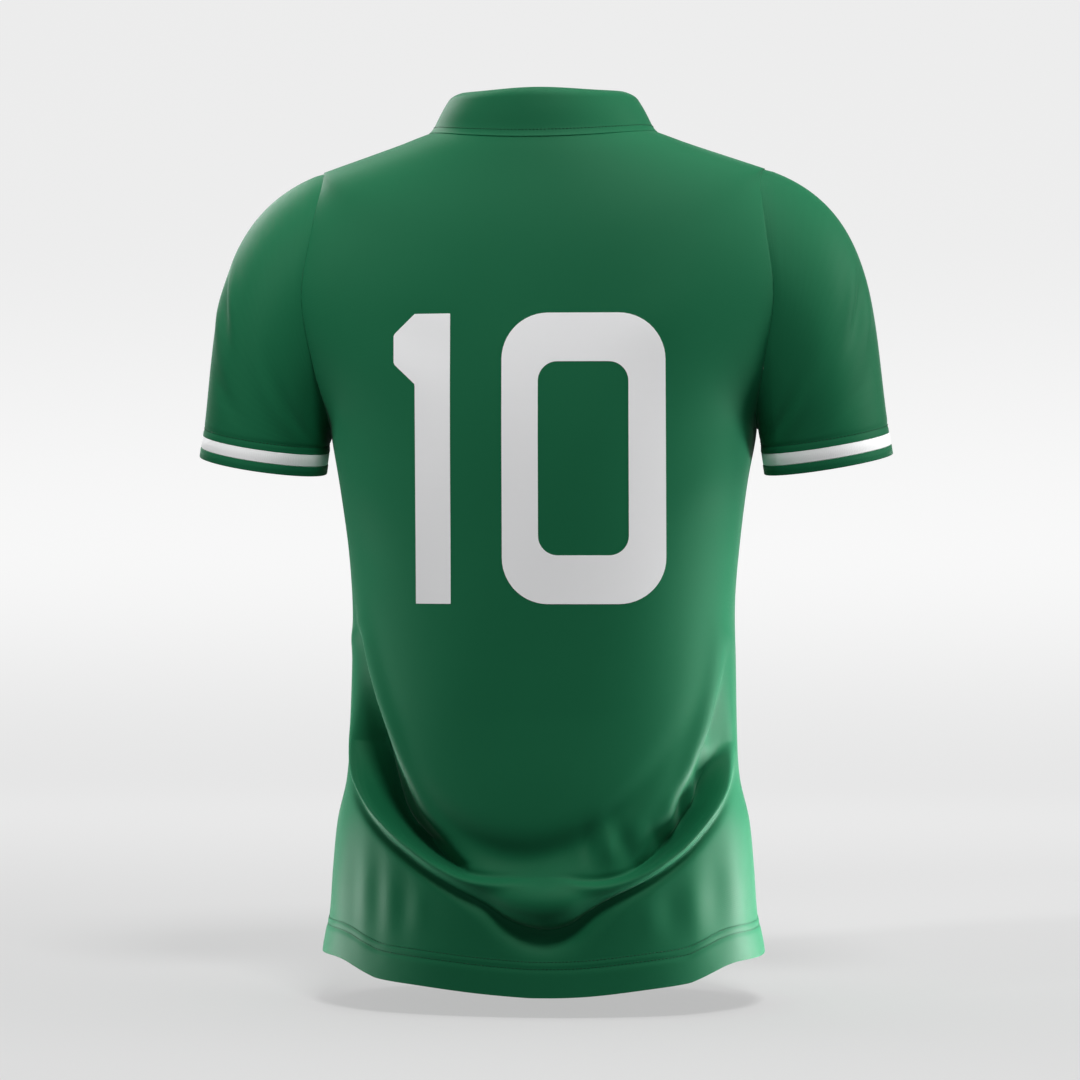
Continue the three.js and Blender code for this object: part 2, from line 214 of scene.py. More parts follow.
def shoulder_height(across):
    slope = NECK_POINT.height - NECK_RISE.height - SHOULDER_POINT.height
    part = (across - NECK_POINT.across) / (SHOULDER_POINT.across - NECK_POINT.across)
    rise = NECK_RISE.height * np.exp(-(across - NECK_POINT.across) / NECK_RISE.reach)
    return SHOULDER_POINT.height + slope * (1 - part) + rise


def row_ends(panel):
    """Right ends of a panel's rows, each row's height in the middle and how square it is."""
    def steps(first, last, count):
        return first + (last - first) * np.arange(count) / count

    heights = np.concatenate([
        steps(HEM_HEIGHT, LOWER_ROWS_TOP, panel.lower * DETAIL),
        steps(LOWER_ROWS_TOP, UNDERARM_HEIGHT, panel.upper * DETAIL),
    ])
    side = np.stack([smooth_value(BODY_SECTIONS, heights, "half_width"),
                     np.zeros_like(heights), heights], axis=-1)
    count = ARMHOLE_ROWS * DETAIL
    turns = 180 - 180 * np.arange(count + 1) / count
    arm = armhole_points(np.maximum(turns, 1e-6) * -panel.side)
    rise = (arm[:, 2] - UNDERARM_HEIGHT) / (SHOULDER_POINT.height - UNDERARM_HEIGHT)
    arm_middle = UNDERARM_HEIGHT + (panel.shoulder_row - UNDERARM_HEIGHT) * rise
    count = panel.shoulder * DETAIL
    part = np.arange(1, count + 1) / count
    across = SHOULDER_POINT.across + (NECK_POINT.across - SHOULDER_POINT.across) * part
    top = np.stack([across, np.zeros_like(across), shoulder_height(across)], axis=-1)
    top_middle = panel.shoulder_row + (panel.neckline - panel.shoulder_row) * part
    points = np.concatenate([side, arm, top])
    middles = np.concatenate([heights, arm_middle, top_middle])
    powers = np.full(len(points), BODY_POWER)
    powers[-count:] = BODY_POWER + (NECK_POWER - BODY_POWER) * part**2
    return points, middles, powers, len(heights)


def panel_grid(name):
    """Points of a body panel before its folds, row by row from the hem, left to right as seen."""
    panel = PANELS[name]
    points, middles, powers, side_rows = row_ends(panel)
    columns = panel.columns * DETAIL
    places = panel.side * (1 - 2 * np.arange(columns + 1) / columns)
    depth = smooth_value(BODY_SECTIONS, middles, name)[:, None]
    power = powers[:, None]
    end_share = np.abs(points[:, 1:2]) / depth
    end_across = (1 - end_share**power) ** (1 / power)
    full_width = points[:, 0:1] / end_across
    angle = np.arcsin(np.clip(end_across ** (power / 2), 0, 1)) * np.abs(places)[None, :]
    out_share = np.clip(np.cos(angle), 0, 1) ** (2 / power)
    across = np.sign(places) * full_width * np.sin(angle) ** (2 / power)
    rise = (1 - out_share**2) / (1 - end_share**2)
    height = middles[:, None] + (points[:, 2:3] - middles[:, None]) * rise
    grid = np.stack([across, panel.side * depth * out_share, height], axis=-1)
    if panel.drop:
        end_height = points[:side_rows, 2:3]
        near = np.clip((HEM_HEIGHT + HEM_FADE - end_height) / HEM_FADE, 0, 1)
        out = np.abs(grid[:side_rows, :, 0]) * HEM_DROP[-1].across / points[:side_rows, 0:1]
        grid[:side_rows, :, 2] -= near * smooth_value(HEM_DROP, out, "drop")
    share = (0.5 * (1 - places**2) ** 2)[None, :, None]
    first = panel.lower * DETAIL
    for _ in range(EVENING_PASSES * DETAIL**2):
        middle = (grid[first:-2] + grid[first + 2:]) / 2
        grid[first + 1:-1] += share * (middle - grid[first + 1:-1])
    return grid, points[:side_rows, 2]


def between(grid, at):
    """Smooth points at places between the first axis' rows, one place for each column."""
    low = np.clip(at.astype(int), 0, len(grid) - 2)
    part = (at - low)[..., None]
    columns = np.arange(grid.shape[1])[None, :]
    rows = [grid[np.clip(low + shift, 0, len(grid) - 1), columns] for shift in (-1, 0, 1, 2)]
    rows[0] = np.where((low == 0)[..., None], 2 * rows[1] - rows[2], rows[0])
    rows[3] = np.where((low == len(grid) - 2)[..., None], 2 * rows[2] - rows[1], rows[3])
    before, start, end, after = rows
    return start + part / 2 * (end - before + part * (
        2 * before - 5 * start + 4 * end - after + part * (3 * (start - end) + after - before)))


def roll_level(wide, heights, name):
    """Height on the side seam of the row that meets the roll's upper edge in each column."""
    if name == "front":
        return np.full(wide.shape[1], ROLL_MIDDLE.height - FRONT_ROWS_BELOW_ROLL)
    angles = np.linspace(-90, 90, 181)
    radii = smooth_value(ROLL, angles, "upper")
    across = ROLL_MIDDLE.across + radii * np.sin(np.radians(angles))
    along = ROLL_MIDDLE.height - radii * np.cos(np.radians(angles))
    level = np.full(wide.shape[1], ROLL_SEARCH.start)
    columns = np.arange(wide.shape[1])
    for _ in range(ROLL_SEARCH.passes):
        row = np.round(np.interp(level, heights, np.arange(len(heights)))).astype(int)
        here = wide[row, columns]
        wanted = np.interp(here[:, 0], across, along)
        level = (heights[row] + ROLL_SEARCH.pull * (wanted - here[:, 2])
                 + ROLL_SEARCH.keep * (level - heights[row]))
    evened = level.copy()
    for _ in range(ROLL_SEARCH.evening):
        evened[1:-1] = (evened[:-2] + 2 * evened[1:-1] + evened[2:]) / 4
    return evened


def fine_grid(name):
    """The panel on finer rows, which sag as its lower folds do."""
    coarse, heights = panel_grid(name)
    panel = PANELS[name]
    columns = np.arange(panel.fine_columns + 1) / panel.fine_columns
    at = np.repeat((columns * (coarse.shape[1] - 1))[:, None], len(coarse), axis=1)
    wide = between(coarse.transpose(1, 0, 2), at).transpose(1, 0, 2)
    places = panel.side * (1 - 2 * columns)
    roll = roll_level(wide, heights, name)[None, :]
    hem_top = HEM_HEIGHT + HEM_ZONE

    def steps(rows):
        return np.arange(FINE_ROWS[rows])[:, None] / FINE_ROWS[rows]

    level = np.concatenate([
        HEM_HEIGHT + HEM_ZONE * steps("hem") + 0 * roll,
        roll - (roll - hem_top) * (1 - steps("skirt")) ** FINE_POWERS.skirt,
        roll + (SWAG_ROWS_HIGH - roll) * steps("swag") ** FINE_POWERS.swag,
        SWAG_ROWS_HIGH + (UNDERARM_HEIGHT - SWAG_ROWS_HIGH) * steps("side") + 0 * roll,
    ])
    sides = np.interp(level, np.append(heights, UNDERARM_HEIGHT), np.arange(len(heights) + 1))
    arm_rows, top_rows = ARMHOLE_ROWS * DETAIL, panel.shoulder * DETAIL
    start = len(heights)
    above_arm = np.concatenate([
        start + np.linspace(0, arm_rows, FINE_ROWS.armhole, endpoint=False),
        start + arm_rows + np.linspace(0, top_rows, FINE_ROWS.shoulder + 1),
    ])[:, None]
    rows = np.concatenate([sides, np.repeat(above_arm, len(places), axis=1)])
    return between(wide, rows), places, len(level)


def normals_of(grid, around=False):
    """Unit normals of a grid of points. Columns run right and rows run up, seen from outside."""
    if around:
        right = np.roll(grid, -1, axis=1) - np.roll(grid, 1, axis=1)
    else:
        right = np.gradient(grid, axis=1)
    up = np.gradient(grid, axis=0)
    return unit(np.cross(right, up))


# Roll that hangs across the lower back: radii of its upper and lower edge around its middle,
# by angle from straight down
ROLL_MIDDLE = Sizes(across=3.0, height=-512.0, begin=26.0)
ROLL = table("angle upper lower", [
    (-90, 158.0, 167.0),
    (-75, 147.0, 157.0),
    (-51, 129.0, 140.0),
    (-39, 123.5, 135.5),
    (-27, 119.0, 133.5),
    (-17, 113.5, 135.0),
    (-8, 109.0, 142.5),
    (4, 107.0, 148.0),
    (12, 109.5, 146.5),
    (19, 116.0, 141.0),
    (27, 123.5, 138.5),
    (37, 131.0, 141.5),
    (54, 140.5, 150.5),
    (71, 149.3, 158.5),
    (90, 158.5, 167.5),
])

# Sharp inner folds on both sides of the lower back, by height
INNER_FOLDS = table("height left right", [
    (-610, 50.0, 82.0),
    (-588, 74.0, 102.0),
    (-569, 91.5, 116.5),
    (-550, 103.2, 126.0),
    (-526, 115.2, 136.0),
    (-500, 125.0, 144.8),
    (-476, 134.4, 150.6),
    (-450, 142.5, 155.6),
    (-415, 151.0, 160.4),
    (-391, 157.3, 163.0),
    (-360, 166.0, 168.0),
])

# Shape across the roll, by distance out from its upper edge: a thin ridge along the sides and a
# full bag in the middle. Sizes in twos are for the sides and for the middle.
ROLL_BAG = Sizes(angle=5.0, angle_spread=17.0, height=14.0, power=1.35)
ROLL_SAG = Sizes(depth=(0.8, 9.0), share=0.35, part=0.8, spread=0.24)
RIDGE = Sizes(height=9.0, place=4.2, spread=3.3)
BELLY = Sizes(height=5.0, place=6.0, spread=16.0)
GROOVE = Sizes(height=-4.0, place=-1.0, spread=2.2)
VALLEY = Sizes(depth=(2.6, 12.0), place=1.0, spread=(3.0, 10.0))
SKIRT = Sizes(height=2.5, spread=5.0)

# Hollows between the inner folds and the roll, and the soft valley above the roll's middle
HOLLOW = Sizes(
    lean=0.9, depth=9.0, left=32.0, right=15.0, reach=60.0, base=5.0, over_spread=75.0, power=1.5,
    edge=(2.2, 10.0), starts=-362.0, start_span=70.0, soft_from=-500.0, soft_span=100.0,
    ends=-640.0, end_span=50.0,
)
BRIM = Sizes(place=0.6, lean=0.05, spread=1.5, growth=0.12)
LIP = Sizes(height=3.0, place=-5.0, spread=5.0)
DIP = Sizes(depth=9.5, spread=11.0, height=-606.0, curve=0.0065, across=-4.0, reach=50.0)

# Soft fold that hangs across the front
FRONT_SWAG = Sizes(
    across=-6.0, lean=-8.0, height=-470.0, half_width=158.0, drop=150.0, power=1.8, begin=40.0,
    roll=(5.0, 3.0), valley=(4.5, 2.5), valley_place=30.0, spread=13.0,
)


def swag_place(swag, x, z):
    """Distance outside a hanging curve, how far down it and how far above it each point lies."""
    down = np.maximum(swag.height - z, 0) / swag.drop
    offset = x - swag.across - swag.lean * np.minimum(down, 1)
    sideways = np.abs(offset / swag.half_width)
    level = (sideways ** swag.power + down ** swag.power) ** (1 / swag.power)
    level = np.maximum(level, 1e-3)
    reach = np.hypot(offset, np.maximum(swag.height - z, 0))
    above = np.maximum(z - swag.height, 0)
    return reach - reach / level, (down / level) ** 2, above


def bell(distance, spread):
    return np.exp(-0.5 * (distance / spread) ** 2)


def hump(distance, height, place, spread):
    return height * bell(distance - place, spread)


def step(distance, spread):
    return 0.5 * (1 + np.tanh(distance / spread))


def mix(first, last, part):
    return first + (last - first) * part


# Small creases: a line from start to end (across, height), lifted along its middle
CREASE_TAPER = 0.3
BACK_CREASES = table("start end lift spread", [
    ((-150, -408), (-166, -440), 2.6, 4.0),
    ((156, -415), (166, -440), 2.6, 4.0),
    ((146, -500), (152, -532), 2.4, 3.5),
    ((134, -532), (143, -566), 3.2, 4.0),
    ((123, -548), (134, -578), -2.6, 4.0),
    ((113, -560), (124, -592), 2.6, 4.5),
    ((98, -574), (110, -600), -2.2, 4.5),
    ((60, -572), (66, -612), 2.6, 4.5),
    ((74, -574), (81, -610), -2.8, 4.5),
    ((46, -576), (50, -612), -2.4, 4.5),
    ((-60, -196), (-140, -160), -1.2, 16.0),
    ((70, -186), (150, -140), 1.4, 18.0),
    ((-172, -275), (-120, -330), 1.8, 13.0),
    ((172, -270), (124, -320), 1.6, 13.0),
    ((-166, -330), (-128, -380), -1.4, 12.0),
])
SKIRT_PLEATS = table("start end lift spread", [
    ((-162, -580), (-168, -676), 0.7, 4.5),
    ((-148, -585), (-152, -680), -0.9, 4.5),
    ((-138, -590), (-141, -680), 0.8, 4.5),
    ((-127, -596), (-129, -676), -0.9, 4.5),
    ((-116, -606), (-118, -676), 0.8, 5.0),
    ((-104, -614), (-106, -672), -1.1, 5.5),
    ((-91, -624), (-92, -668), 0.8, 6.0),
    ((160, -584), (170, -676), 1.3, 6.0),
    ((146, -598), (152, -676), -1.3, 6.0),
    ((130, -610), (134, -676), 1.1, 6.0),
    ((112, -622), (115, -670), -0.9, 6.5),
    ((96, -632), (98, -668), 0.6, 7.0),
])
FRONT_CREASES = table("start end lift spread", [
    ((-150, -420), (-110, -500), -2.4, 9.0),
    ((152, -400), (118, -486), -2.2, 9.0),
    ((-60, -560), (-70, -676), 2.2, 14.0),
    ((58, -570), (70, -678), 2.0, 14.0),
    ((-10, -585), (-6, -680), -1.8, 15.0),
    ((-120, -590), (-128, -674), -1.8, 9.0),
    ((124, -590), (132, -676), -1.8, 9.0),
    ((-90, -150), (-150, -225), 1.6, 14.0),
    ((92, -150), (152, -222), 1.6, 14.0),
])


def crease_lift(creases, u, v):
    """Lift of small creases, each highest along the middle of its line."""
    total = np.zeros_like(u)
    for crease in creases:
        (u0, v0), (u1, v1) = crease.start, crease.end
        length = math.hypot(u1 - u0, v1 - v0)
        along = ((u - u0) * (u1 - u0) + (v - v0) * (v1 - v0)) / length**2
        beside = ((u - u0) * (v1 - v0) - (v - v0) * (u1 - u0)) / length
        total += crease.lift * bell(along - 0.5, CREASE_TAPER) * bell(beside, crease.spread)
    return total


def back_roll(x, z):
    """Lift of the roll, how far it sags, and how far outside and above it each point lies."""
    down = np.maximum(ROLL_MIDDLE.height - z, 0)
    over = np.maximum(z - ROLL_MIDDLE.height, 0)
    offset = x - ROLL_MIDDLE.across
    angle = np.degrees(np.arctan2(offset, down + 1e-6))
    upper = smooth_value(ROLL, angle, "upper")
    lower = smooth_value(ROLL, angle, "lower")
    centre = bell(angle - ROLL_BAG.angle, ROLL_BAG.angle_spread)
    begin = bell(over, ROLL_MIDDLE.begin)
    sag = mix(*ROLL_SAG.depth, centre)
    width = lower - upper - ROLL_SAG.share * sag
    outside = np.hypot(offset, down) - upper
    part = np.clip(outside / width, 0, 1)
    past = outside - width
    bag = ROLL_BAG.height * np.sin(np.pi * part ** ROLL_BAG.power)
    lift = mix(hump(outside, **RIDGE), bag, centre)
    lift += centre * hump(outside, **BELLY)
    lift += hump(past, -mix(*VALLEY.depth, centre), VALLEY.place,
                 mix(*VALLEY.spread, centre))
    lift += (1 - centre) * hump(outside, **GROOVE)
    lift += (1 - centre) * SKIRT.height * step(past, SKIRT.spread)
    sag = sag * bell(part - ROLL_SAG.part, ROLL_SAG.spread)
    return lift * begin, sag * begin, outside, over


def back_hollows(x, z, outside, over):
    """Lift of the hollow between each inner fold and the roll, deepest beside the roll."""
    left = x < 0
    fold = np.where(left, smooth_value(INNER_FOLDS, z, "left"),
                    smooth_value(INNER_FOLDS, z, "right"))
    inside = HOLLOW.lean * (np.abs(x) - fold)
    soft = np.clip((HOLLOW.soft_from - z) / HOLLOW.soft_span, 0, 1)
    start = np.clip((HOLLOW.starts - z) / HOLLOW.start_span, 0, 1) ** HOLLOW.power
    end = np.clip((z - HOLLOW.ends) / HOLLOW.end_span, 0, 1) ** HOLLOW.power
    brim = step(outside - BRIM.place + BRIM.lean * over,
                BRIM.spread + BRIM.growth * over)
    open_part = step(inside, mix(*HOLLOW.edge, soft**2)) * (1 - brim)
    from_fold = np.clip(inside, 0, HOLLOW.reach)
    from_roll = np.clip(-outside, 0, HOLLOW.reach)
    deeper = np.where(left, HOLLOW.left, HOLLOW.right) * bell(over, HOLLOW.over_spread)
    depth = HOLLOW.depth + deeper * from_fold / (from_fold + from_roll + HOLLOW.base)
    lip = (1 - soft) * hump(inside, **LIP)
    return (lip - depth * open_part * end) * start


def back_folds(x, z):
    """Lift of the back's cloth, and how far its roll sags down over the shadow below it."""
    lift, sag, outside, over = back_roll(x, z)
    lift += back_hollows(x, z, outside, over)
    aside = x - DIP.across
    below = z - DIP.height - DIP.curve * aside**2
    lift -= DIP.depth * bell(below, DIP.spread) * bell(aside, DIP.reach)
    return lift, sag


def front_folds(x, z):
    """Lift of the front's cloth, which doesn't sag."""
    swag = FRONT_SWAG
    outside, deep, over = swag_place(swag, x, z)
    roll = mix(*swag.roll, deep) * bell(outside, swag.spread)
    valley = mix(*swag.valley, deep) * bell(outside - swag.valley_place, swag.spread)
    return (roll - valley) * bell(over, swag.begin), np.zeros_like(x)


def unevenness(x, z):
    """Slow, slight waves that keep large areas of cloth from looking stamped."""
    slow = 0.35 * np.sin(x / 31 + 0.6) * np.sin(z / 47 + 1.1)
    slight = 0.22 * np.sin(x / 17 - z / 29 + 2.0)
    return slow + slight


def hem_step(grid, normals):
    """Raises the turned-up hem a little, up to its second stitch line."""
    distance = run_lengths(grid)
    lift = 1 - step(distance - HEM_LINES[1] - HEM_RELIEF.past, HEM_RELIEF.spread)
    for line in HEM_LINES:
        lift -= bell(distance - line, HEM_RELIEF.groove_spread)
    lift *= HEM_RELIEF.lift
    return grid + normals * lift[..., None]


def armhole_outward(turns):
    """Normals of the cloth along the right armhole seam."""
    ahead = armhole_points(turns + 0.5) - armhole_points(turns - 0.5)
    leave = np.radians(SLEEVE_LEAVE.top * (1 + np.cos(np.radians(turns))) / 2)
    outward = unit(np.cross(falling(leave), ahead))
    middle = np.array([150.0, 0.0, ARMHOLE.middle])
    facing = ((armhole_points(turns) - middle) * outward).sum(axis=-1, keepdims=True)
    return outward * np.sign(facing)


def body_panel(name, folds, creases):
    """A body panel with its folds, creases and hem, and the number of rows below its armhole."""
    grid, places, side_rows = fine_grid(name)
    normals = normals_of(grid)
    x, z = grid[..., 0], grid[..., 2]
    away = np.abs(places)
    hold = (1 - away ** FOLD_FADE.edge_power)[None, :]
    lift, sag = folds(x, z)
    beyond = np.clip((away - FOLD_FADE.side_from) / FOLD_FADE.side_span, 0, 1)
    lift = lift * (1 - FOLD_FADE.side_share * beyond * beyond * (3 - 2 * beyond))
    lift = lift + crease_lift(creases, x, z) + unevenness(x, z)
    from_hem = np.clip((z - z[0]) / FOLD_FADE.hem_reach, 0, 1)
    rows = np.arange(len(grid))
    from_top = np.clip((len(grid) - 1 - rows) / FOLD_FADE.top_rows, 0, 1)[:, None]
    lift = lift * hold * mix(FOLD_FADE.hem_share, 1, from_hem) * from_top
    arm = rows - side_rows
    beside_arm = np.clip((arm + FOLD_FADE.arm_rows) / FOLD_FADE.arm_rows, 0, 1)
    beside_arm = beside_arm * (arm < FINE_ROWS.armhole + FOLD_FADE.arm_past)
    share = 1 - beside_arm[:, None] * away ** FOLD_FADE.arm_power
    grid = grid + normals * (lift * share)[..., None]
    grid[..., 2] -= sag * hold
    grid = hem_step(grid, normals_of(grid))
    return grid, side_rows


def sew(grid, side_rows, side):
    """Brings a panel's sewn edges together with the next piece and pulls them in a little."""
    normals = normals_of(grid)
    turns = 180 - 180 * np.arange(FINE_ROWS.armhole + 1) / FINE_ROWS.armhole
    turns = np.clip(turns, 1e-6, 180 - 1e-6) * -side
    seam = armhole_points(turns) - armhole_outward(turns) * SEAM_DIP
    last = side_rows + FINE_ROWS.armhole + 1
    sewn = grid.copy()
    for column in (0, -1):
        sign = np.sign(grid[0, column, 0])
        sewn[1:, column] -= normals[1:, column] * SEAM_DIP
        sewn[:, column, 1] = 0
        sewn[side_rows:last, column] = seam * np.array([sign, 1, 1])
    sewn[-1] -= normals[-1] * SEAM_DIP
    sewn[-1, [0, -1], 1] = 0
    return sewn


def sleeve_frame():
    """Directions out across the sleeve's end, towards the back, and along the sleeve."""
    outward, forward = (math.radians(SLEEVE_END[key]) for key in ("outward_tilt", "forward_tilt"))
    out = np.array([math.cos(outward), 0, math.sin(outward)])
    level = np.array([0.0, -1.0, 0.0])
    below = np.cross(out, level)
    back = level * math.cos(forward) + unit(below) * math.sin(forward)
    return out, back, np.cross(out, back)


def sleeve_oval(angle, proud=0.0):
    """Points around the sleeve's end, some way outside its edge."""
    out, back, _ = sleeve_frame()
    across = out * (SLEEVE_END.half_width + proud) * np.cos(angle)[..., None]
    deep = back * (SLEEVE_END.half_depth + proud) * np.sin(angle)[..., None]
    return np.array(SLEEVE_END.centre) + across + deep


# Creases of the sleeves, placed by turn in degrees and by share of the sleeve, times these
SLEEVE_SPREAD = Sizes(turn=1.1, share=230)
SLEEVE_CREASES = table("start end lift spread", [
    ((18, 112), (58, 150), -2.6, 6.0),
    ((22, 100), (60, 132), 1.8, 7.0),
    ((10, 128), (44, 166), 1.6, 6.0),
    ((30, 176), (84, 204), -1.2, 7.0),
    ((118, 96), (150, 176), -2.0, 9.0),
    ((96, 110), (130, 190), 1.4, 9.0),
    ((-24, 110), (-66, 150), -2.2, 7.0),
    ((-20, 140), (-60, 178), 1.6, 7.0),
    ((-112, 100), (-146, 176), -2.0, 9.0),
])


def sleeve_grid(shift):
    """Right sleeve, row by row from armhole to cuff, with its creases shifted a little."""
    turns = 360 * np.arange(SLEEVE_COLUMNS) / SLEEVE_COLUMNS
    turns = np.where(turns > 180, turns - 360, turns)
    angle = np.radians(turns)
    slope = (1 + np.cos(angle)) / 2
    leave = np.radians(SLEEVE_LEAVE.top) * slope
    safe = np.clip(np.where(turns == 0, 1e-6, turns), -180, 180 - 1e-6)
    start = armhole_points(safe) + falling(leave) * SEAM_STEP
    end = sleeve_oval(angle)
    length = np.linalg.norm(end - start, axis=-1, keepdims=True)
    fall = np.radians(mix(SLEEVE_LEAVE.top, SLEEVE_LEAVE.bottom, 1 - slope))
    first = start + falling(fall) * SLEEVE_LEAVE.pull * length
    second = end - sleeve_frame()[2] * SLEEVE_ARRIVE * length
    part = np.arange(SLEEVE_ROWS + 1)[:, None, None] / SLEEVE_ROWS
    part = 1 - (1 - part) ** SLEEVE_ROW_POWER
    grid = ((1 - part) ** 3 * start + 3 * (1 - part) ** 2 * part * first
            + 3 * (1 - part) * part**2 * second + part**3 * end)
    normals = normals_of(grid, around=True)
    share = part[..., 0]
    u, v = np.broadcast_arrays(turns[None, :] * SLEEVE_SPREAD.turn, share * SLEEVE_SPREAD.share)
    lift = crease_lift(SLEEVE_CREASES, u + shift, v + shift)
    lift += 0.4 * np.sin(u / 23 + shift) * np.sin(v / 31)
    fade = (np.minimum(share / SLEEVE_FADE.top, 1)
            * np.minimum((1 - share) / SLEEVE_FADE.end, 1))
    distance = run_lengths(grid[::-1])[::-1]
    groove = SLEEVE_GROOVE.depth * bell(distance - SLEEVE_LINE, SLEEVE_GROOVE.spread)
    grid = grid + normals * (lift * fade - groove)[..., None]
    grid[0] = armhole_points(safe) - armhole_outward(safe) * SEAM_DIP
    return grid


def cuff_grid(start, width, proud, thickness):
    """A knitted band as a closed rounded section, swept around the sleeve's end."""
    along = sleeve_frame()[2]
    angle = 2 * np.pi * np.arange(SLEEVE_COLUMNS) / SLEEVE_COLUMNS
    corner = thickness * CUFF_CORNER
    inner = corner - thickness
    far = width - corner
    corners = ((90, -corner, corner), (0, -corner, far), (-90, inner, far), (180, inner, corner))
    section = []
    for first, centre_in, centre_along in corners:
        for turn in np.radians(np.linspace(first, first - 90, 5)):
            section.append((centre_in + corner * math.cos(turn),
                            centre_along - corner * math.sin(turn)))
    rings = []
    for inset, distance in section:
        rings.append(sleeve_oval(angle, proud + inset) + along * (start + distance))
    return np.array(rings)


def neck_outward(points):
    """Directions out and up from the neck seam."""
    radial = points.copy()
    radial[:, 0] /= NECK_POINT.across
    radial[:, 1] /= BODY_SECTIONS[-1].back
    radial[:, 2] = 0
    radial = unit(radial)
    radial[:, 2] = 1
    return unit(radial)


def collar_grid(back_neckline, front_neckline):
    """Stand collar, row by row from the neck seam, from its left end round to its right end."""
    middle = (len(front_neckline) - 1) // 2
    base = np.concatenate([front_neckline[middle:-1], back_neckline,
                           front_neckline[1:middle + 1]])
    base[0, 0] = -COLLAR.end_gap
    base[-1, 0] = COLLAR.end_gap
    radial = unit(base * np.array([1.0, 1.0, 0.0]))
    lean_middle = np.where(base[:, 1] < 0, COLLAR.lean_back, COLLAR.lean_front)
    lean = mix(lean_middle, COLLAR.lean_side, radial[:, 0] ** 2)
    rise = np.sqrt(COLLAR.width ** 2 - lean**2)
    seam = neck_outward(base)
    across = unit(np.array([0.0, 0.0, 1.0]) - seam * seam[:, 2:3])
    notch = np.where(base[:, 1] > 0,
                     COLLAR.notch * np.exp(-np.abs(base[:, 0]) / COLLAR.notch_reach), 0)
    part = (np.arange(COLLAR.rows + 1) / COLLAR.rows)[:, None]
    edge = np.clip((part - COLLAR.edge_from) / (1 - COLLAR.edge_from), 0, 1) ** 2
    flare = COLLAR.flare * (np.exp(-part / COLLAR.flare_reach) - 1 + part)
    bulge = COLLAR.bulge * np.sin(np.pi * part)
    outward = bulge + flare - lean * part - COLLAR.edge_in * edge
    grid = base - across * SEAM_DIP + radial * outward[..., None]
    arch = np.where(base[:, 1] < 0, COLLAR.arch * bell(base[:, 0], COLLAR.arch_reach), 0)
    grid[..., 2] += (rise + arch) * part - COLLAR.edge_down * edge
    grid[..., 0] += np.sign(base[:, 0]) * notch * part**2
    return grid


def mesh_object(name, vertices, faces, uvs=None):
    """A smooth mesh from points in millimetres, with its lengths along the cloth as UVs."""
    mesh = bpy.data.meshes.new(name)
    mesh.from_pydata((np.asarray(vertices).reshape(-1, 3) * MM).tolist(), [], faces)
    if uvs is not None:
        layer = mesh.uv_layers.new(name="cloth")
        corners = np.empty(len(mesh.loops), np.int32)
        mesh.loops.foreach_get("vertex_index", corners)
        layer.data.foreach_set("uv", uvs.reshape(-1, 2)[corners].ravel())
    mesh.shade_smooth()
    obj = bpy.data.objects.new(name, mesh)
    bpy.context.collection.objects.link(obj)
    return obj


def grid_faces(rows, columns, around_columns=False, around_rows=False):
    """Faces of a grid of points, closed around its columns or its rows where asked."""
    faces = []
    for i in range(rows if around_rows else rows - 1):
        up = (i + 1) % rows
        for j in range(columns if around_columns else columns - 1):
            right = (j + 1) % columns
            faces.append((i * columns + j, i * columns + right, up * columns + right,
                          up * columns + j))
    return faces


def cloth_uvs(grid):
    """Lengths along the cloth in millimetres, from its middle row and middle column."""
    across = run_lengths(grid[grid.shape[0] // 2])
    along = run_lengths(grid[:, grid.shape[1] // 2])
    return np.stack(np.meshgrid(across, along), axis=-1)


def thicken(obj, thickness, rounding, segments):
    """Gives a sheet its thickness, inwards from its points, and rounds its edges."""
    solid = obj.modifiers.new("thickness", "SOLIDIFY")
    solid.thickness = thickness * MM
    solid.offset = -1
    edge = obj.modifiers.new("edge", "BEVEL")
    edge.width = rounding * MM
    edge.segments = segments
    edge.limit_method = "ANGLE"
    edge.angle_limit = math.radians(60)
    edge.harden_normals = True


def dress(obj, material, node_name=None):
    """Gives a piece its material, ties it to the frame, and has it replace its solid, if any."""
    obj.data.materials.append(materials[material])
    if node_name:
        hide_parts(node_name)
    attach(obj, "root")
    return obj


def cloth(name, grid, node_name, material, thickness, around=False):
    """A sheet of cloth on a grid of points, with its thickness and rounded edges."""
    uvs = cloth_uvs(grid)
    if around:
        joined = np.concatenate([grid, grid[:, :1]], axis=1)
        uvs = cloth_uvs(joined)[:, :-1]
    faces = grid_faces(*grid.shape[:2], around_columns=around)
    obj = mesh_object(name, grid, faces, uvs)
    thicken(obj, thickness, thickness * EDGE_ROUNDING, 2)
    return dress(obj, material, node_name)


def on_side(hand, grid):
    """A grid made for the right side, mirrored for the left one."""
    return grid if hand == "right" else (grid * np.array([-1.0, 1.0, 1.0]))[:, ::-1]


# Materials
GREEN = (0.0068, 0.118, 0.0485)
# The thread's green is darker than the cloth's: painted shade along the stitch lines.
GREEN_PAINTED_SHADE = (0.0045, 0.05, 0.022)
WHITE = (0.93, 0.935, 0.935)
FILM = (0.91, 0.91, 0.915)
GREEN_SHEEN = (0.72, 1.0, 0.84, 1)
PLAIN_SHEEN = (1, 1, 1, 1)
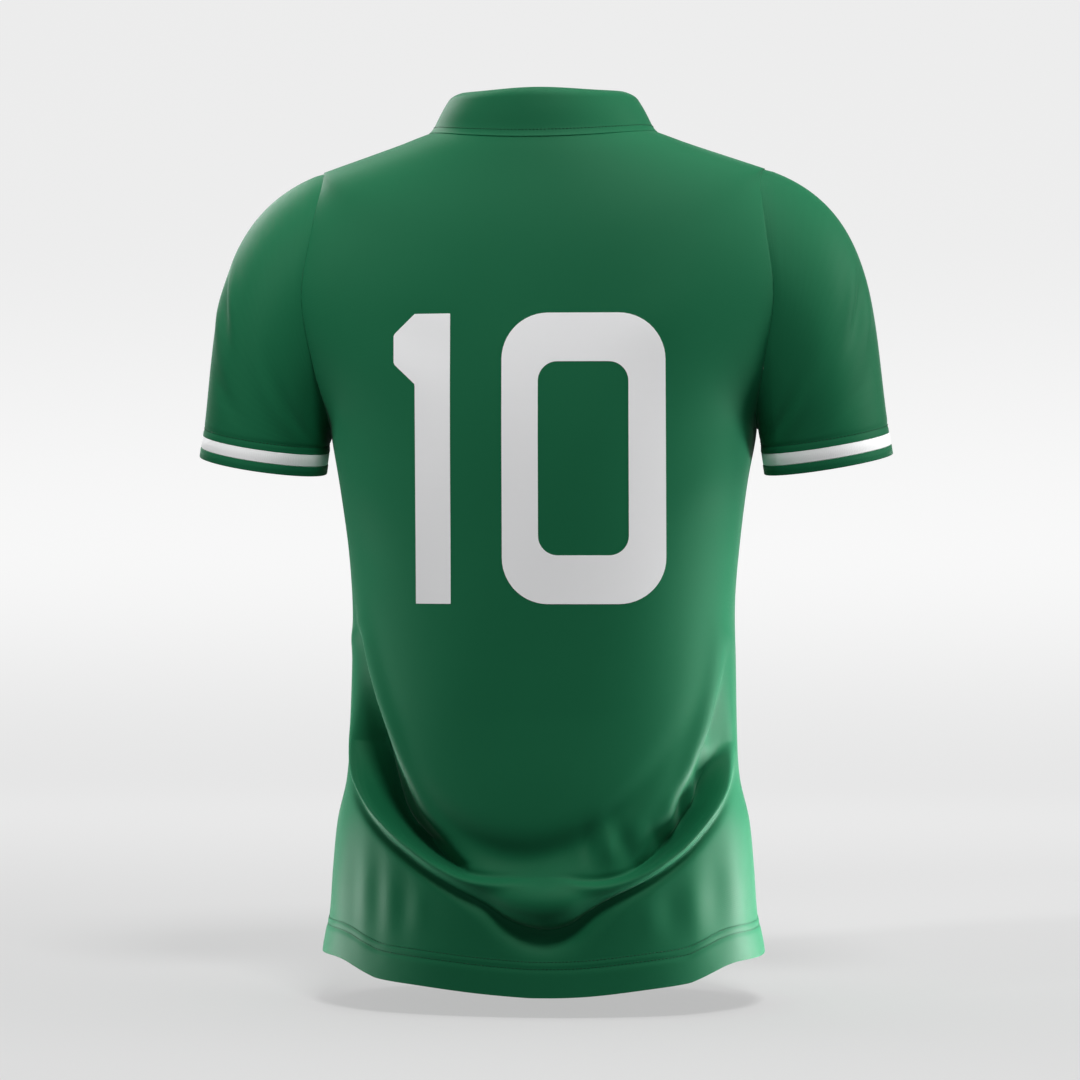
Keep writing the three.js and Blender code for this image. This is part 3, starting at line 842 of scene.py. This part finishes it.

# Looks of the cloths. Wale and course are the knit's spacing in millimetres.
# The last column is how far the colour varies: random tone, and painted shade between the knit's
# loops.
LOOKS = table("name colour roughness sheen tint wale course bump shade", [
    ("jersey_knit", GREEN, 0.6, 0.3, GREEN_SHEEN, 1.1, 0.9, 0.15, 0.035),
    ("collar_knit", GREEN, 0.6, 0.3, GREEN_SHEEN, 1.1, 0.9, 0.18, 0.035),
    ("cuff_rib", GREEN, 0.65, 0.35, GREEN_SHEEN, 1.6, 0.9, 0.5, 0.035),
    ("white_rib", WHITE, 0.6, 0.1, PLAIN_SHEEN, 1.6, 0.9, 0.4, 0.03),
    ("thread_green", GREEN_PAINTED_SHADE, 0.45, 0.1, GREEN_SHEEN, 0.3, 0.3, 0.2, 0.035),
    ("number_film", FILM, 0.42, 0.0, PLAIN_SHEEN, 1.1, 0.9, 0.18, 0.015),
])
SHEEN_ROUGHNESS = 0.22
SPECULAR = 0.12
CLOUD = Sizes(scale=9.0, detail=4.0, share=0.6)
FIBRE = Sizes(scale=900.0, detail=2.0, share=0.4, relief=0.5)
# Knit loops: the bend of their V, their height's share in the colour as painted shade between
# them, and the bump's distance in metres.
LOOP = Sizes(bow=2.4, share=0.18, relief=0.0002)


def node(tree, kind, **values):
    made = tree.nodes.new(kind)
    for key, value in values.items():
        setattr(made, key, value)
    return made


def set_sockets(made, values):
    for socket, value in values.items():
        made.inputs[socket].default_value = value


def math_node(tree, operation, first, second=None):
    made = node(tree, "ShaderNodeMath", operation=operation)
    for socket, value in zip(made.inputs, (first, second)):
        if value is None:
            continue
        if isinstance(value, (int, float)):
            socket.default_value = value
        else:
            tree.links.new(value, socket)
    return made.outputs[0]


def knit_height(tree, wale, course):
    """Rows of knitted loops: V-shaped stitches, wale apart across and course apart along."""
    place = node(tree, "ShaderNodeUVMap", uv_map="cloth")
    split = node(tree, "ShaderNodeSeparateXYZ")
    tree.links.new(place.outputs[0], split.inputs[0])
    across = math_node(tree, "MULTIPLY", split.outputs[0], 2 * math.pi / wale)
    half = math_node(tree, "MULTIPLY", across, 0.5)
    bow = math_node(tree, "ABSOLUTE", math_node(tree, "SINE", half))
    along = math_node(tree, "MULTIPLY", split.outputs[1], 2 * math.pi / course)
    bent = math_node(tree, "ADD", along, math_node(tree, "MULTIPLY", bow, LOOP.bow))
    return math_node(tree, "MULTIPLY", math_node(tree, "SINE", bent), bow)


def noise(tree, place, scale, detail):
    made = node(tree, "ShaderNodeTexNoise")
    set_sockets(made, {"Scale": scale, "Detail": detail})
    tree.links.new(place.outputs["Object"], made.inputs["Vector"])
    return made.outputs[0]


def cloth_material(name, colour, roughness, sheen, tint, wale, course, bump, shade):
    """Knit with a soft sheen, whose colour varies a little at random with its fibres and clouds,
    and with painted shade between its loops.
    """
    material = bpy.data.materials.new(name)
    material.use_nodes = True
    tree = material.node_tree
    shader = tree.nodes["Principled BSDF"]
    set_sockets(shader, {
        "Roughness": roughness, "Sheen Weight": sheen, "Sheen Roughness": SHEEN_ROUGHNESS,
        "Sheen Tint": tint, "Specular IOR Level": SPECULAR,
    })
    place = node(tree, "ShaderNodeTexCoord")
    cloud = noise(tree, place, CLOUD.scale, CLOUD.detail)
    fibre = noise(tree, place, FIBRE.scale, FIBRE.detail)
    height = knit_height(tree, wale, course)
    ramp = node(tree, "ShaderNodeMix", data_type="RGBA", blend_type="MIX")
    dark = [channel * (1 - shade) for channel in colour]
    light = [min(1.0, channel * (1 + shade)) for channel in colour]
    set_sockets(ramp, {6: (*dark, 1), 7: (*light, 1)})
    total = math_node(tree, "ADD", math_node(tree, "MULTIPLY", cloud, CLOUD.share),
                      math_node(tree, "MULTIPLY", fibre, FIBRE.share))
    # The loops' height lightens the colour on their crests and darkens it between them: painted
    # shade.
    tone_and_loop_shade = math_node(tree, "ADD", total, math_node(tree, "MULTIPLY", height, LOOP.share))
    tree.links.new(tone_and_loop_shade, ramp.inputs[0])
    tree.links.new(ramp.outputs[2], shader.inputs["Base Color"])
    relief = node(tree, "ShaderNodeBump")
    set_sockets(relief, {"Strength": bump, "Distance": LOOP.relief})
    raised = math_node(tree, "ADD", height, math_node(tree, "MULTIPLY", fibre, FIBRE.relief))
    tree.links.new(raised, relief.inputs["Height"])
    tree.links.new(relief.outputs[0], shader.inputs["Normal"])
    return material


materials = {look.name: cloth_material(**look) for look in LOOKS}

# Cloth pieces
back_grid, back_side_rows = body_panel("back", back_folds, BACK_CREASES + SKIRT_PLEATS)
front_grid, front_side_rows = body_panel("front", front_folds, FRONT_CREASES)
back_shape = sew(back_grid, back_side_rows, -1)
front_shape = sew(front_grid, front_side_rows, 1)
collar_points = collar_grid(back_grid[-1].copy(), front_grid[-1].copy())
back_cloth = cloth("back_cloth", back_shape, "back_panel", "jersey_knit",
                   THICKNESS.knit)
front_cloth = cloth("front_cloth", front_shape, "front_panel", "jersey_knit",
                    THICKNESS.knit)
collar_cloth = cloth("collar_cloth", collar_points, "collar", "collar_knit",
                     THICKNESS.collar)

SLEEVE_SHIFTS = {"right": 0.0, "left": 4.0}
sleeve_grids = {hand: on_side(hand, sleeve_grid(shift)) for hand, shift in SLEEVE_SHIFTS.items()}


def band(name, rings, node_name, material):
    """A knitted band on closed rings of points."""
    faces = grid_faces(*rings.shape[:2], around_columns=True, around_rows=True)
    turn = np.arange(rings.shape[1]) * 360 / rings.shape[1]
    depth = np.arange(rings.shape[0]) * 1.0
    obj = mesh_object(name, rings, faces, np.stack(np.meshgrid(turn, depth), axis=-1))
    return dress(obj, material, node_name)


stripe_rings = cuff_grid(0.0, STRIPE_WIDTH + CUFF_GAP, 0.1, THICKNESS.stripe)
edge_rings = cuff_grid(STRIPE_WIDTH + CUFF_GAP, CUFF_WIDTH + CUFF_GAP, 0.5, THICKNESS.cuff)
for hand, grid in sleeve_grids.items():
    stripe = band(f"stripe_knit_{hand}", on_side(hand, stripe_rings), f"cuff_stripe_{hand}",
                  "white_rib")
    edge = band(f"cuff_knit_{hand}", on_side(hand, edge_rings), f"cuff_edge_{hand}",
                "cuff_rib")
    sleeve = cloth(f"sleeve_cloth_{hand}", grid, f"sleeve_{hand}", "jersey_knit",
                   THICKNESS.knit, around=True)


def number_loop(left, right, low, high, radius, count):
    """Rounded rectangle, evenly by share of each side and corner, clockwise from the top left."""
    centres = [(right - radius, high - radius, 90), (right - radius, low + radius, 0),
               (left + radius, low + radius, -90), (left + radius, high - radius, -180)]
    points = []
    for corner, (cx, cz, start) in enumerate(centres):
        for turn in np.radians(np.linspace(start, start - 90, count)):
            points.append((cx + radius * math.cos(turn), cz + radius * math.sin(turn)))
        nx, nz, next_start = centres[(corner + 1) % 4]
        last = np.array(points[-1])
        turn = math.radians(next_start)
        target = np.array((nx + radius * math.cos(turn), nz + radius * math.sin(turn)))
        for part in np.arange(1, count * 2) / (count * 2):
            points.append(tuple(last + (target - last) * part))
    return np.array(points)


# Number: plain figures of thin film. Heights, widths and radii are those of their strokes.
NUMBER = Sizes(low=-396.0, high=-157.0, lift=0.25, thickness=0.2, rounding=0.06)
ZERO = Sizes(left=-24.0, right=110.0, side=30.0, cap=40.0, radius=38.0, inner=16.0)
ONE = Sizes(left=-115.0, stem=-97.0, right=-67.0, flag=24.0, slope=17.0)
ACROSS_STROKE = 14
CORNER_POINTS = 14
ONE_ROWS = 121


def film_patch(name, flat, faces):
    """Lays a flat figure, points of (across, height), on the back."""
    places = []
    for x, z in flat.reshape(-1, 2):
        start = Vector((x * MM, -0.5, z * MM))
        place, normal, _, _ = back_tree.ray_cast(start, Vector((0, 1, 0)))
        places.append(np.array(place) / MM + np.array(normal) * NUMBER.lift)
    obj = mesh_object(name, places, faces, flat)
    thicken(obj, NUMBER.thickness, NUMBER.rounding, 1)
    return dress(obj, "number_film")


back_tree = BVHTree.FromObject(back_cloth, bpy.context.evaluated_depsgraph_get())
outer_loop = number_loop(ZERO.left, ZERO.right, NUMBER.low, NUMBER.high,
                         ZERO.radius, CORNER_POINTS)
inner_loop = number_loop(ZERO.left + ZERO.side, ZERO.right - ZERO.side,
                         NUMBER.low + ZERO.cap, NUMBER.high - ZERO.cap,
                         ZERO.inner, CORNER_POINTS)
shares = (np.arange(ACROSS_STROKE + 1) / ACROSS_STROKE)[:, None, None]
zero_flat = outer_loop * (1 - shares) + inner_loop * shares
zero_faces = grid_faces(*zero_flat.shape[:2], around_columns=True)
zero_faces = [face[::-1] for face in zero_faces]
film_patch("number_zero", zero_flat, zero_faces)

heights = np.linspace(NUMBER.low, NUMBER.high, ONE_ROWS)
flag_top = NUMBER.high - ONE.slope
flag_low = flag_top - ONE.flag
left_edge = np.interp(heights, (flag_low - ONE.slope, flag_low, flag_top, NUMBER.high),
                      (ONE.stem, ONE.left, ONE.left, ONE.stem))
one_shares = np.linspace(0, 1, ACROSS_STROKE * 2)[None, :]
one_across = left_edge[:, None] * (1 - one_shares) + ONE.right * one_shares
one_flat = np.stack([one_across, np.repeat(heights[:, None], one_shares.size, axis=1)], axis=-1)
film_patch("number_one", one_flat, grid_faces(*one_across.shape))


# Stitches
STITCH = Sizes(length=2.3, pitch=3.1, radius=0.32, arch=0.12, sides=6)
STITCH_PROFILE = table("share size", [
    (0.0, 0.1), (0.12, 0.75), (0.5, 1.0), (0.88, 0.75), (1.0, 0.1),
])


def line_on(grid, distance, around=False):
    """Points and normals at a distance up the cloth from its first row."""
    total = run_lengths(grid)
    normals = normals_of(grid, around)
    points, outward = [], []
    for column in range(grid.shape[1]):
        row = np.interp(distance, total[:, column], np.arange(grid.shape[0]))
        low = min(int(row), grid.shape[0] - 2)
        part = row - low
        points.append(mix(grid[low, column], grid[low + 1, column], part))
        outward.append(mix(normals[low, column], normals[low + 1, column], part))
    return np.array(points), np.array(outward)


def stitch_row(points, normals):
    """Vertices and faces of thread stitches along a line on the cloth."""
    total = run_lengths(points)
    vertices, faces = [], []
    starts = np.arange(0.0, total[-1] - STITCH.length, STITCH.pitch)
    for start in starts:
        base = len(vertices)
        at = [start + STITCH.length * ring.share for ring in STITCH_PROFILE]
        centre = np.stack([np.interp(at, total, points[:, axis]) for axis in range(3)], axis=-1)
        normal = np.array([np.interp(start, total, normals[:, axis]) for axis in range(3)])
        tangent = unit(centre[-1] - centre[0])
        normal = unit(normal - tangent * normal.dot(tangent))
        side = np.cross(tangent, normal)
        for place, ring in zip(centre, STITCH_PROFILE):
            height = STITCH.arch * math.sin(math.pi * ring.share)
            radius = STITCH.radius * ring.size
            for corner in range(STITCH.sides):
                turn = 2 * math.pi * corner / STITCH.sides
                vertices.append(place + normal * (height + radius * math.sin(turn))
                                + side * radius * math.cos(turn))
        rings = grid_faces(len(STITCH_PROFILE), STITCH.sides, around_columns=True)
        faces += [tuple(base + index for index in face) for face in rings]
        last = base + (len(STITCH_PROFILE) - 1) * STITCH.sides
        faces.append(tuple(base + index for index in reversed(range(STITCH.sides))))
        faces.append(tuple(last + index for index in range(STITCH.sides)))
    return vertices, faces


def stitches(name, lines):
    """One piece with the stitches along some lines of points and normals."""
    vertices, faces = [], []
    for points, normals in lines:
        more, quads = stitch_row(points, normals)
        faces += [tuple(index + len(vertices) for index in face) for face in quads]
        vertices += more
    obj = mesh_object(name, vertices, faces, np.zeros((len(vertices), 2)))
    return dress(obj, "thread_green")


for name, grid in (("back", back_shape), ("front", front_shape)):
    hem_lines = [line_on(grid, distance) for distance in HEM_LINES]
    stitches(f"hem_stitches_{name}", hem_lines)
for hand, grid in sleeve_grids.items():
    points, normals = line_on(grid[::-1], SLEEVE_LINE, around=True)
    closed = [np.concatenate([line, line[:1]]) for line in (points, -normals)]
    stitches(f"sleeve_stitches_{hand}", [closed])
stitches("collar_stitches", [line_on(collar_points, COLLAR_LINE)])

# Studio: pale floor that curves up into a backdrop. Its glow is brighter with height and, a
# little, with distance.
STUDIO = Sizes(
    floor=-735.0, near=-6000.0, far=2600.0, curve=1500.0, top=6000.0, half_width=6000.0,
    colour=0.26, roughness=0.8, specular=0.1,
)
GLOW_SLOPE = (0, 0.06, 1)
GLOW_RANGE = {"From Min": -0.735, "From Max": 0.765}
GLOW = table("height strength", [(0.0, 0.48), (0.09, 0.68), (0.4, 0.83), (0.85, 0.75)])

studio_paint = bpy.data.materials.new("studio_paint")
studio_paint.use_nodes = True
tree = studio_paint.node_tree
paint = tree.nodes["Principled BSDF"]
set_sockets(paint, {
    "Base Color": (*[STUDIO.colour] * 3, 1), "Roughness": STUDIO.roughness,
    "Specular IOR Level": STUDIO.specular, "Emission Color": (1, 1, 1, 1),
})
place = node(tree, "ShaderNodeTexCoord")
slope = node(tree, "ShaderNodeVectorMath", operation="DOT_PRODUCT")
set_sockets(slope, {1: GLOW_SLOPE})
tree.links.new(place.outputs["Object"], slope.inputs[0])
rising = node(tree, "ShaderNodeMapRange")
set_sockets(rising, GLOW_RANGE)
tree.links.new(slope.outputs["Value"], rising.inputs["Value"])
glow = node(tree, "ShaderNodeValToRGB")
glow.color_ramp.interpolation = "EASE"
for stop in GLOW[1:-1]:
    glow.color_ramp.elements.new(stop.height)
for element, stop in zip(glow.color_ramp.elements, GLOW):
    element.position = stop.height
    element.color = (*[stop.strength] * 3, 1)
tree.links.new(rising.outputs[0], glow.inputs[0])
tree.links.new(glow.outputs[0], paint.inputs["Emission Strength"])

profile = [(STUDIO.near, 0.0), (STUDIO.far, 0.0)]
profile += [(STUDIO.far + STUDIO.curve * math.sin(turn),
             STUDIO.curve * (1 - math.cos(turn)))
            for turn in np.radians(np.linspace(5, 90, 18))]
profile += [(STUDIO.far + STUDIO.curve, STUDIO.top)]
floor_points = [[(x, y, STUDIO.floor + z) for x in (-STUDIO.half_width, STUDIO.half_width)]
                for y, z in profile]
floor = mesh_object("studio_floor", floor_points, grid_faces(len(profile), 2))
floor.data.materials.append(studio_paint)
floor.visible_diffuse = False
floor.visible_glossy = False

# Camera: level, about 3 m away, turned a little to the right of the jersey's middle
CAMERA = Sizes(distance=3.0, turn=5.7, height=-0.3434, across=-0.003, view=0.918)
turn = math.radians(CAMERA.turn)
lens = bpy.data.cameras.new("camera")
lens.sensor_width = 36
lens.lens = lens.sensor_width * CAMERA.distance / CAMERA.view
lens.clip_end = 30
camera = bpy.data.objects.new("camera", lens)
right = Vector((math.cos(turn), math.sin(turn), 0))
back = Vector((math.sin(turn), -math.cos(turn), 0))
camera.location = back * CAMERA.distance + right * CAMERA.across
camera.location.z = CAMERA.height
camera.rotation_euler = (math.pi / 2, 0, turn)
bpy.context.collection.objects.link(camera)
bpy.context.scene.camera = camera

# Light
LOW_COLOUR = (1, 0.82, 0.91)
LIGHTS = table("name at aim size power", [
    ("key", (0.6, -1.9, 2.35), (0, 0, -0.3), (0.8, 0.7), 65),
    ("top", (0.1, 0.3, 2.2), (0, 0, -0.3), (2.6, 1.6), 32),
    ("side_right", (1.7, 0.1, 0.4), (0.1, 0, -0.3), (0.9, 1.0), 24),
    ("side_left", (-1.3, 1.2, 0.9), (-0.1, 0, -0.3), (0.7, 0.8), 28),
    ("low_right", (0.54, 0.06, -0.7), (0.18, -0.03, -0.62), (0.24, 0.16), 11),
    ("low_left", (-0.5, -0.02, -0.72), (-0.18, -0.03, -0.63), (0.24, 0.16), 5.5),
])
FILL = Sizes(at=(-1.9, -1.6, 1.5), aim=(-0.26, 0, -0.13), cone=14, radius=0.14, power=165)

# The side lamps light every piece but the floor. The low ones light only those of these names.
LIT_PIECES = {"side": ("",), "low": ("back", "front", "hem")}


def add_lamp(name, data, at, aim):
    """Places a lamp so that it shines at a point."""
    lamp = bpy.data.objects.new(name, data)
    lamp.location = at
    lamp.rotation_euler = (Vector(aim) - lamp.location).to_track_quat("-Z", "Y").to_euler()
    bpy.context.collection.objects.link(lamp)
    return lamp


receivers = {}
pieces = [piece for piece in bpy.context.scene.objects
          if piece.type == "MESH" and piece != floor]
for lamps, starts in LIT_PIECES.items():
    receivers[lamps] = bpy.data.collections.new(lamps + "_lit")
    bpy.context.scene.collection.children.link(receivers[lamps])
    for piece in pieces:
        if piece.name.startswith(starts):
            receivers[lamps].objects.link(piece)
for light in LIGHTS:
    data = bpy.data.lights.new(light.name, "AREA")
    data.shape = "RECTANGLE"
    data.size, data.size_y = light.size
    data.energy = light.power
    lamp = add_lamp(light.name, data, light.at, light.aim)
    lamps = light.name.split("_")[0]
    if lamps == "low":
        data.color = LOW_COLOUR
    if lamps in receivers:
        lamp.light_linking.receiver_collection = receivers[lamps]
spot = bpy.data.lights.new("fill", "SPOT")
spot.energy = FILL.power
spot.spot_size = math.radians(FILL.cone)
spot.spot_blend = 1
spot.shadow_soft_size = FILL.radius
add_lamp("fill", spot, FILL.at, FILL.aim)

world = bpy.data.worlds.new("studio")
world.use_nodes = True
sky = world.node_tree.nodes["Background"]
set_sockets(sky, {"Color": (0.95, 0.96, 0.97, 1), "Strength": 0.2})
bpy.context.scene.world = world
bpy.context.scene.view_settings.view_transform = "Standard"
